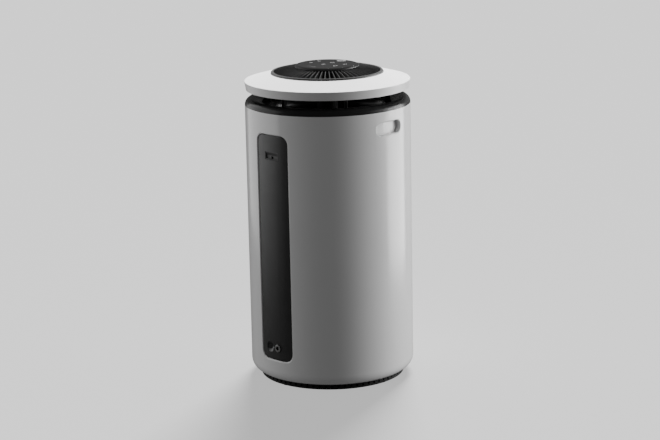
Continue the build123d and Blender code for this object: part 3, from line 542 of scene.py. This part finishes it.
# Shapes that repeat, made with Geometry Nodes.
class Recipe:
    """A Geometry Nodes tree with named inputs, built a node at a time."""

    def __init__(self, name, inputs):
        self.tree = bpy.data.node_groups.new(name, "GeometryNodeTree")
        self.tree.interface.new_socket("Geometry", in_out="OUTPUT", socket_type="NodeSocketGeometry")
        for label, kind in inputs:
            self.tree.interface.new_socket(label, in_out="INPUT", socket_type=kind)
        self.inputs = self.tree.nodes.new("NodeGroupInput").outputs

    def add(self, kind, links=None, **settings):
        made = self.tree.nodes.new(kind)
        for setting, value in settings.items():
            setattr(made, setting, value)
        for socket, source in (links or {}).items():
            if isinstance(source, bpy.types.NodeSocket):
                self.tree.links.new(source, made.inputs[socket])
            else:
                made.inputs[socket].default_value = source
        return made

    def sum(self, operation, first, second=0.0):
        return self.add("ShaderNodeMath", {0: first, 1: second}, operation=operation).outputs[0]

    def round_point(self, distance, angle, height):
        """A point from its distance from the axis, its angle and its height."""
        across = self.sum("MULTIPLY", distance, self.sum("COSINE", angle))
        along = self.sum("MULTIPLY", distance, self.sum("SINE", angle))
        return self.add("ShaderNodeCombineXYZ", {0: across, 1: along, 2: height}).outputs[0]

    def close(self, geometry):
        """Ends the tree in Realize Instances and Set Material."""
        real = self.add("GeometryNodeRealizeInstances", {"Geometry": geometry})
        clad = self.add(
            "GeometryNodeSetMaterial",
            {"Geometry": real.outputs["Geometry"], "Material": self.inputs["Finish"]},
        )
        end = self.tree.nodes.new("NodeGroupOutput")
        self.tree.links.new(clad.outputs["Geometry"], end.inputs["Geometry"])
        return self.tree


def grown(name, tree, values):
    """The plain mesh that a tree makes from its inputs."""
    holder = bpy.data.objects.new(name, bpy.data.meshes.new(name))
    SCENE.collection.objects.link(holder)
    modifier = holder.modifiers.new("shape", "NODES")
    modifier.node_group = tree
    for item in tree.interface.items_tree:
        if item.item_type == "SOCKET" and item.in_out == "INPUT":
            modifier[item.identifier] = values[item.name]
    bpy.context.view_layer.update()
    shown = holder.evaluated_get(bpy.context.evaluated_depsgraph_get())
    mesh = bpy.data.meshes.new_from_object(shown)
    holder.modifiers.remove(modifier)
    bpy.data.objects.remove(holder)
    return mesh


def ring_of_copies():
    """Copies of one shape, evenly round the main axis."""
    recipe = Recipe("ring_of_copies", (
        ("Shape", "NodeSocketObject"), ("Count", "NodeSocketInt"), ("Circle Radius", "NodeSocketFloat"),
        ("Height", "NodeSocketFloat"), ("First Angle", "NodeSocketFloat"), ("Finish", "NodeSocketMaterial"),
    ))
    got = recipe.inputs
    index = recipe.add("GeometryNodeInputIndex").outputs[0]
    step = recipe.sum("DIVIDE", 2 * math.pi, got["Count"])
    angle = recipe.sum("ADD", recipe.sum("MULTIPLY", index, step), got["First Angle"])
    place = recipe.round_point(got["Circle Radius"], angle, got["Height"])
    points = recipe.add("GeometryNodePoints", {"Count": got["Count"], "Position": place})
    shape = recipe.add("GeometryNodeObjectInfo", {"Object": got["Shape"]})
    turn = recipe.add("ShaderNodeCombineXYZ", {2: angle}).outputs[0]
    copies = recipe.add("GeometryNodeInstanceOnPoints", {
        "Points": points.outputs[0], "Instance": shape.outputs["Geometry"], "Rotation": turn,
    })
    return recipe.close(copies.outputs["Instances"])


def pleated_sheet():
    """A folded sheet that closes on itself round the main axis, with uneven folds."""
    recipe = Recipe("pleated_sheet", (
        ("Pleats", "NodeSocketInt"), ("Outer Radius", "NodeSocketFloat"),
        ("Inner Radius", "NodeSocketFloat"), ("Bottom", "NodeSocketFloat"), ("Top", "NodeSocketFloat"),
        ("Thickness", "NodeSocketFloat"), ("Unevenness", "NodeSocketFloat"), ("Seed", "NodeSocketInt"),
        ("Finish", "NodeSocketMaterial"),
    ))
    got = recipe.inputs
    across = recipe.sum("ADD", recipe.sum("MULTIPLY", got["Pleats"], 8), 1)
    grid = recipe.add("GeometryNodeMeshGrid", {
        "Size X": 1.0, "Size Y": 1.0, "Vertices X": across, "Vertices Y": 12,
    })
    spot = recipe.add("GeometryNodeInputPosition").outputs[0]
    parts = recipe.add("ShaderNodeSeparateXYZ", {0: spot}).outputs
    turn = recipe.sum("ADD", parts[0], 0.5)
    rise = recipe.sum("ADD", parts[1], 0.5)
    angle = recipe.sum("MULTIPLY", turn, 2 * math.pi)
    fold = recipe.sum("PINGPONG", recipe.sum("MULTIPLY", turn, recipe.sum("MULTIPLY", got["Pleats"], 2)), 1)
    eased = recipe.add("ShaderNodeMapRange", {"Value": fold}, interpolation_type="SMOOTHSTEP").outputs[0]
    reach = recipe.add("ShaderNodeMapRange", {
        "Value": eased, "To Min": got["Inner Radius"], "To Max": got["Outer Radius"],
    }).outputs[0]
    around = recipe.round_point(1.0, angle, recipe.sum("MULTIPLY", rise, 2.0))
    ripple = recipe.add("ShaderNodeTexNoise", {
        "Vector": around, "Scale": 9.0, "Detail": 2.0, "W": got["Seed"],
    }, noise_dimensions="4D").outputs[0]
    push = recipe.sum("MULTIPLY", recipe.sum("SUBTRACT", ripple, 0.5), got["Unevenness"])
    distance = recipe.sum("ADD", reach, push)
    height = recipe.add("ShaderNodeMapRange", {
        "Value": rise, "To Min": got["Bottom"], "To Max": got["Top"],
    }).outputs[0]
    placed = recipe.add("GeometryNodeSetPosition", {
        "Geometry": grid.outputs["Mesh"], "Position": recipe.round_point(distance, angle, height),
    }).outputs[0]
    closed = recipe.add("GeometryNodeMergeByDistance", {"Geometry": placed, "Distance": 0.00001}).outputs[0]
    raised = recipe.add("GeometryNodeExtrudeMesh", {
        "Mesh": closed, "Offset Scale": got["Thickness"], "Individual": False,
    }, mode="FACES").outputs["Mesh"]
    back = recipe.add("GeometryNodeFlipFaces", {"Mesh": closed}).outputs[0]
    both = recipe.add("GeometryNodeJoinGeometry")
    recipe.tree.links.new(raised, both.inputs[0])
    recipe.tree.links.new(back, both.inputs[0])
    whole = recipe.add("GeometryNodeMergeByDistance", {
        "Geometry": both.outputs[0], "Distance": 0.000001,
    }).outputs[0]
    return recipe.close(whole)


def swept_blades():
    """Upright blades between two radii, each bowed back by an angle, with rounded edges."""
    recipe = Recipe("swept_blades", (
        ("Blades", "NodeSocketInt"), ("Inner Radius", "NodeSocketFloat"),
        ("Outer Radius", "NodeSocketFloat"), ("Lean", "NodeSocketFloat"),
        ("Thickness", "NodeSocketFloat"), ("Bottom", "NodeSocketFloat"), ("Top", "NodeSocketFloat"),
        ("Finish", "NodeSocketMaterial"),
    ))
    got = recipe.inputs
    half = recipe.sum("DIVIDE", recipe.sum("SUBTRACT", got["Top"], got["Bottom"]), 2)
    level = recipe.sum("DIVIDE", recipe.sum("ADD", got["Top"], got["Bottom"]), 2)
    between = recipe.sum("DIVIDE", recipe.sum("ADD", got["Inner Radius"], got["Outer Radius"]), 2)
    spine = recipe.add("GeometryNodeCurveArc", {
        "Resolution": 18,
        "Start": recipe.round_point(got["Inner Radius"], 0.0, level),
        "Middle": recipe.round_point(between, recipe.sum("MULTIPLY", got["Lean"], 0.35), level),
        "End": recipe.round_point(got["Outer Radius"], got["Lean"], level),
    }, mode="POINTS").outputs["Curve"]
    section = recipe.add("GeometryNodeCurvePrimitiveQuadrilateral", {
        "Width": got["Thickness"], "Height": recipe.sum("MULTIPLY", half, 2.0),
    }, mode="RECTANGLE").outputs["Curve"]
    eased = recipe.add("GeometryNodeFilletCurve", {
        "Curve": section, "Radius": recipe.sum("MULTIPLY", got["Thickness"], 0.45), "Count": 3,
    }, mode="POLY").outputs["Curve"]
    upright = recipe.add("GeometryNodeSetCurveNormal", {"Curve": spine}, mode="Z_UP").outputs[0]
    skin = recipe.add("GeometryNodeCurveToMesh", {
        "Curve": upright, "Profile Curve": eased, "Fill Caps": True,
    }).outputs["Mesh"]
    index = recipe.add("GeometryNodeInputIndex").outputs[0]
    angle = recipe.sum("MULTIPLY", index, recipe.sum("DIVIDE", 2 * math.pi, got["Blades"]))
    points = recipe.add("GeometryNodePoints", {"Count": got["Blades"], "Position": (0.0, 0.0, 0.0)})
    turn = recipe.add("ShaderNodeCombineXYZ", {2: angle}).outputs[0]
    copies = recipe.add("GeometryNodeInstanceOnPoints", {
        "Points": points.outputs[0], "Instance": skin, "Rotation": turn,
    })
    return recipe.close(copies.outputs["Instances"])


def coil():
    """A round wire wound about its own upright axis."""
    recipe = Recipe("coil", (
        ("Turns", "NodeSocketFloat"), ("Coil Radius", "NodeSocketFloat"),
        ("Wire Radius", "NodeSocketFloat"), ("Length", "NodeSocketFloat"),
        ("Foot", "NodeSocketVector"), ("Finish", "NodeSocketMaterial"),
    ))
    got = recipe.inputs
    line = recipe.add("GeometryNodeCurveSpiral", {
        "Resolution": 36, "Rotations": got["Turns"], "Start Radius": got["Coil Radius"],
        "End Radius": got["Coil Radius"], "Height": got["Length"],
    }).outputs["Curve"]
    section = recipe.add("GeometryNodeCurvePrimitiveCircle", {
        "Resolution": 10, "Radius": got["Wire Radius"],
    }, mode="RADIUS").outputs["Curve"]
    wire = recipe.add("GeometryNodeCurveToMesh", {
        "Curve": line, "Profile Curve": section, "Fill Caps": True,
    }).outputs["Mesh"]
    placed = recipe.add("GeometryNodeTransform", {"Geometry": wire, "Translation": got["Foot"]})
    return recipe.close(placed.outputs["Geometry"])


COPIES = ring_of_copies()
COIL = coil()
PLEATS = pleated_sheet()
BLADES = swept_blades()


def copies_round(points, faces, count, circle, height, first, finish, name):
    """The mesh of several copies of a shape round the main axis."""
    template = bpy.data.objects.new(name + "_shape", plain_mesh(name + "_shape", points, faces))
    SCENE.collection.objects.link(template)
    mesh = grown(name, COPIES, {
        "Shape": template, "Count": count, "Circle Radius": circle, "Height": height,
        "First Angle": math.radians(first), "Finish": FINISH[finish],
    })
    bpy.data.objects.remove(template)
    return mesh


def merged(meshes):
    """One mesh from several, closed and facing outwards."""
    whole = bmesh.new()
    for mesh in meshes:
        whole.from_mesh(mesh)
    bmesh.ops.recalc_face_normals(whole, faces=whole.faces)
    joined = bpy.data.meshes.new(meshes[0].name)
    whole.to_mesh(joined)
    whole.free()
    return joined


# Outlet grille.
FIN_CREST = ((0.0811, 0.4693), (0.066, 0.4733), (0.046, 0.4756))
FIN_FOOT = ((0.0811, GRILLE_SEAT), (0.046, 0.4636))
FIN_START_R = 0.0465
FIN_STEPS = 14
FIN_FOOT_HALF = 0.00066
FIN_CREST_R = 0.0005


def crest_height(distance):
    """Height of the domed fins at a distance from the axis."""
    total = 0.0
    for here, (at, height) in enumerate(FIN_CREST):
        weight = 1.0
        for other, (elsewhere, _) in enumerate(FIN_CREST):
            if other != here:
                weight *= (distance - elsewhere) / (at - elsewhere)
        total += weight * height
    return total


def fin_shape():
    """One fin: a thin wall with a little draft and a rounded crest."""
    rings = []
    (outer, low_out), (inner, low_in) = FIN_FOOT
    for step in range(FIN_STEPS + 1):
        distance = FIN_START_R + (outer - FIN_START_R) * step / FIN_STEPS
        low = low_in + (low_out - low_in) * (distance - inner) / (outer - inner)
        high = crest_height(distance)
        if distance < TRIM_R + 0.0004:
            high = HUB_TOP
        section = [(distance, -FIN_FOOT_HALF, low), (distance, FIN_FOOT_HALF, low)]
        for turn in range(7):
            angle = math.pi * turn / 6
            lift = high - FIN_CREST_R + FIN_CREST_R * math.sin(angle)
            section.append((distance, FIN_CREST_R * math.cos(angle), lift))
        rings.append(section)
    return loft(rings)


def make_grille():
    rim = rounded((
        (GRILLE_R - GRILLE_WALL, GRILLE_SEAT), (GRILLE_R, GRILLE_SEAT),
        (GRILLE_R, GRILLE_RIM_TOP - GRILLE_RIM_CUT),
        (GRILLE_R - GRILLE_RIM_CUT, GRILLE_RIM_TOP), (GRILLE_R - GRILLE_WALL, GRILLE_RIM_TOP),
    ), 0.0006)
    hub = rounded((
        (HUB_EYE_R, HUB_LOW), (HUB_R, HUB_LOW), (HUB_R, HUB_TOP), (HUB_R - HUB_WALL, HUB_TOP),
        (HUB_R - HUB_WALL, GRILLE_SEAT), (HUB_EYE_R, GRILLE_SEAT),
    ), 0.0004, 2)
    walls = plain_mesh("grille_walls", *join_parts((turn_section(rim), turn_section(hub))))
    fins = copies_round(*fin_shape(), FIN_COUNT, 0.0, 0.0, 0.0, "grille_dark", "grille_fins")
    piece("grille_with_fins", merged((walls, fins)), "grille_dark", HOUSING, ("outlet_grille",))


# Screws. Shares are of the head's radius and of its height.
SPOKES = 48
HEAD_DOME = ((0.0, 1.0), (0.16, 1.0), (0.36, 1.0), (0.56, 0.97), (0.8, 0.86), (0.94, 0.62), (1.0, 0.3))
HEAD_MIDDLE = 0.02
RECESS_HEART = 0.2
RECESS_REACH = 0.5
RECESS_ARM = 0.36
RECESS_TAPER = 2.2
RECESS_DEPTH = 0.45


def in_recess(share, angle):
    """Whether a point of the head, at a share of its radius, lies in the cross recess."""
    if share < RECESS_HEART:
        return True
    return share < RECESS_REACH and abs(math.sin(2 * angle)) < RECESS_ARM / (share * RECESS_TAPER)


def screw_shape(head_r, head_height, shank_r, shank_length, facing=1.0):
    """A pan-head screw with a cross recess. The underside of its head is at height nought."""
    rings = []
    angles = [2 * math.pi * spoke / SPOKES for spoke in range(SPOKES)]
    for share, height in HEAD_DOME:
        ring_points = []
        for angle in angles:
            depth = RECESS_DEPTH if in_recess(share, angle) else 0.0
            radius = max(share, HEAD_MIDDLE) * head_r
            lift = (height - depth) * head_height
            ring_points.append((radius * math.cos(angle), radius * math.sin(angle), facing * lift))
        rings.append(ring_points)
    profile = ((1.0, 0.0), (shank_r / head_r, 0.0), (shank_r / head_r, -shank_length / head_height))
    for share, height in profile:
        radius = share * head_r
        rings.append([
            (radius * math.cos(angle), radius * math.sin(angle), facing * height * head_height)
            for angle in angles
        ])
    return loft(rings)


# Node, count, circle radius, seat height, first angle, (head radius, head height, shank radius,
# shank length), and which way the heads face.
SCREW_SETS = (
    ("base_screws", 4, 0.1064, 0.0042, 45.0, (0.0028, 0.0018, 0.0015, 0.0215), -1.0),
    ("deck_screws", 4, 0.1064, 0.283, 45.0, (0.0028, 0.002, 0.0015, 0.0118), 1.0),
    ("housing_screws", 6, 0.1005, 0.286, 0.0, (0.0024, 0.002, 0.0015, 0.0058), 1.0),
    ("motor_screws", 3, 0.024, 0.38, 30.0, (0.0028, 0.002, 0.0015, 0.0108), 1.0),
    ("head_screws", 4, 0.04, 0.4613, 45.0, (0.0026, 0.0018, 0.0015, 0.0048), 1.0),
)


def make_screws():
    for node, count, circle, seat, first, size, facing in SCREW_SETS:
        shape = screw_shape(*size, facing)
        mesh = copies_round(*shape, count, circle, seat, first, "steel", node + "_cross")
        piece(node + "_cross", mesh, "steel", HOUSING, (node,), 30.0)


# Feet.
def make_feet():
    """Soft pads with concentric treads underneath."""
    section = [(0.0, 0.002), (0.0068, 0.002), (0.007, 0.0018), (0.007, 0.0007), (0.0067, 0.0002)]
    for groove in range(4):
        edge = 0.0062 - groove * 0.0016
        section += [(edge, 0.0), (edge - 0.0002, 0.0005), (edge - 0.0005, 0.0005), (edge - 0.0007, 0.0)]
    section += [(0.0, 0.0)]
    shape = turn_section(section, 40)
    mesh = copies_round(*shape, 4, 0.1, 0.0, 0.0, "rubber_black", "treaded_feet")
    piece("treaded_feet", mesh, "rubber_black", HOUSING, ("rubber_feet",), 30.0)


# Filter and fan.
SHAFT_R = 0.004
SHAFT_GAP = 0.00005
IMPELLER_R = 0.08
IMPELLER_EYE_R = 0.0525
MOTOR_CUP_R = 0.0435
MOTOR_CUP_OUTER_R = 0.046
FAN_EDGE = 0.0008
SLEEVE_EDGE = 0.0006


def make_pleats():
    low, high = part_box("filter_media")
    mesh = grown("pleated_filter", PLEATS, {
        "Pleats": 80, "Outer Radius": 0.0836, "Inner Radius": 0.0636, "Bottom": low.z, "Top": high.z,
        "Thickness": 0.0006, "Unevenness": 0.0012, "Seed": 7, "Finish": FINISH["filter_paper"],
    })
    piece("pleated_filter", mesh, "filter_paper", HOUSING, ("filter_media",), 60.0)


def make_impeller():
    blades = grown("impeller_blades", BLADES, {
        "Blades": 11, "Inner Radius": 0.038, "Outer Radius": 0.0792, "Lean": math.radians(-42.0),
        "Thickness": 0.002, "Bottom": 0.2972, "Top": 0.3308, "Finish": FINISH["fan_white"],
    })
    plate = tube(SHAFT_R, IMPELLER_R, 0.33, 0.3325, FAN_EDGE)
    shroud = rounded((
        (IMPELLER_EYE_R, 0.293), (IMPELLER_R, 0.293), (IMPELLER_R, 0.2975), (IMPELLER_EYE_R, 0.2955),
    ), FAN_EDGE)
    sleeve = tube(SHAFT_R + SHAFT_GAP, 0.011, 0.318, 0.339, SLEEVE_EDGE)
    walls = plain_mesh("impeller_walls", *join_parts(
        turn_section(section) for section in (plate, shroud, sleeve)
    ))
    piece("bladed_impeller", merged((walls, blades)), "fan_white", ROTOR, ("impeller",))


def make_diffuser():
    vanes = grown("diffuser_vanes", BLADES, {
        "Blades": 13, "Inner Radius": 0.0455, "Outer Radius": 0.0842, "Lean": math.radians(16.0),
        "Thickness": 0.0016, "Bottom": 0.356, "Top": 0.379, "Finish": FINISH["black_matte"],
    })
    hub = rounded((
        (MOTOR_CUP_R, 0.345), (MOTOR_CUP_OUTER_R, 0.345), (MOTOR_CUP_OUTER_R, 0.38),
        (SHAFT_R, 0.38), (SHAFT_R, 0.377), (MOTOR_CUP_R, 0.377),
    ), FAN_EDGE)
    ring = tube(0.0835, 0.086, 0.375, 0.384, SLEEVE_EDGE)
    walls = plain_mesh("diffuser_walls", *join_parts(turn_section(section) for section in (hub, ring)))
    piece("vaned_diffuser", merged((walls, vanes)), "black_matte", HOUSING, ("fan_diffuser",))


# Marks on the control cap.
def stroke(path, width, low, high, closed=False):
    """A flat raised line of even width along a path."""
    count = len(path)
    rims = []
    for index, point in enumerate(path):
        before = Vector(path[index - 1] if index or closed else path[0])
        after = Vector(path[(index + 1) % count] if index < count - 1 or closed else path[-1])
        run = (after - before).normalized()
        side = Vector((-run.y, run.x)) * width / 2
        rims.append((Vector(point) + side, Vector(point) - side))
    rings = [
        [(left.x, left.y, low), (right.x, right.y, low), (right.x, right.y, high), (left.x, left.y, high)]
        for left, right in rims
    ]
    points, faces = loft(rings, not closed)
    if closed:
        last = (count - 1) * 4
        faces += [(last + i, last + (i + 1) % 4, (i + 1) % 4, i) for i in range(4)]
    return points, faces


def arc(middle, radius, start, end, steps=28):
    turns = [math.radians(start + (end - start) * step / steps) for step in range(steps + 1)]
    return [(middle[0] + radius * math.cos(turn), middle[1] + radius * math.sin(turn)) for turn in turns]


def circle(middle, radius, steps=32):
    return arc(middle, radius, 0.0, 360.0 * (steps - 1) / steps, steps - 1)


LINE = 0.0006


def mark_parts(low, high):
    """Generic marks: fan speed, timer, lock, night, air and a level bar."""
    lines = []
    fan = (0.025, 0.0083)
    for turn in (90, 210, 330):
        lines.append((arc(fan, 0.0022, turn, turn + 95), False))
    lines.append((circle(fan, 0.0007, 16), True))
    timer = (-0.025, 0.0083)
    lines.append((circle(timer, 0.0029), True))
    lines.append(([timer, (timer[0], timer[1] + 0.0017)], False))
    lines.append(([timer, (timer[0] + 0.0013, timer[1])], False))
    lock = (-0.0265, -0.011)
    lines.append((circle((lock[0], lock[1] - 0.0006), 0.0021), True))
    lines.append((arc((lock[0], lock[1] + 0.0014), 0.0013, 0, 180, 14), False))
    air = (0.0265, -0.011)
    for row in (-0.0016, 0.0, 0.0016):
        lines.append(([
            (air[0] - 0.0028 + step * 0.0004, air[1] + row + 0.0005 * math.sin(step * 0.9))
            for step in range(15)
        ], False))
    night = (0.0, 0.0081)
    lines.append((arc(night, 0.0029, 60, 330), False))
    lines.append((arc((night[0] + 0.0013, night[1] + 0.0008), 0.0022, 80, 318), False))
    mode = (0.0, -0.0122)
    lines.append((circle(mode, 0.003), True))
    lines.append((arc((mode[0], mode[1] - 0.0003), 0.0014, 20, 160, 12), False))
    for block in range(5):
        start = -0.0078 + block * 0.0033
        lines.append(([(start, 0.0335), (start + 0.0024, 0.0335)], False))
    return join_parts(stroke(path, LINE, low, high, closed) for path, closed in lines)


def make_marks():
    mesh = plain_mesh("touch_marks", *mark_parts(CAP_TOP, CAP_TOP + 0.00015))
    piece("touch_marks", mesh, "icon_print", HOUSING, ("touch_icons",))


def make_power_mark():
    middle = ((BUTTON_LOW.x + BUTTON_HIGH.x) / 2, (BUTTON_LOW.y + BUTTON_HIGH.y) / 2)
    top = BUTTON_HIGH.z
    lines = (
        arc(middle, 0.0026, 125, 415),
        [(middle[0], middle[1] + 0.0006), (middle[0], middle[1] + 0.0034)],
    )
    mesh = plain_mesh("power_mark", *join_parts(
        stroke(path, 0.0007, top - 0.0001, top + 0.0001) for path in lines
    ))
    piece("power_mark", mesh, "cap_dark", POWER_KEY)


def make_spring():
    low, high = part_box("button_spring")
    length = high.z - low.z
    middle = (low + high) / 2
    mesh = grown("wound_spring", COIL, {
        "Turns": 4.0, "Coil Radius": (high.x - low.x) / 2 - SPRING_WIRE_R,
        "Wire Radius": SPRING_WIRE_R, "Length": length - 2 * SPRING_WIRE_R,
        "Foot": (middle.x, middle.y, low.z + SPRING_WIRE_R), "Finish": FINISH["steel"],
    })
    spring = piece("wound_spring", merged((mesh,)), "steel", HOUSING, ("button_spring",), 60.0)
    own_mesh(spring)


make_grille()
make_spring()
make_screws()
make_feet()
make_pleats()
make_impeller()
make_diffuser()
make_marks()
make_power_mark()
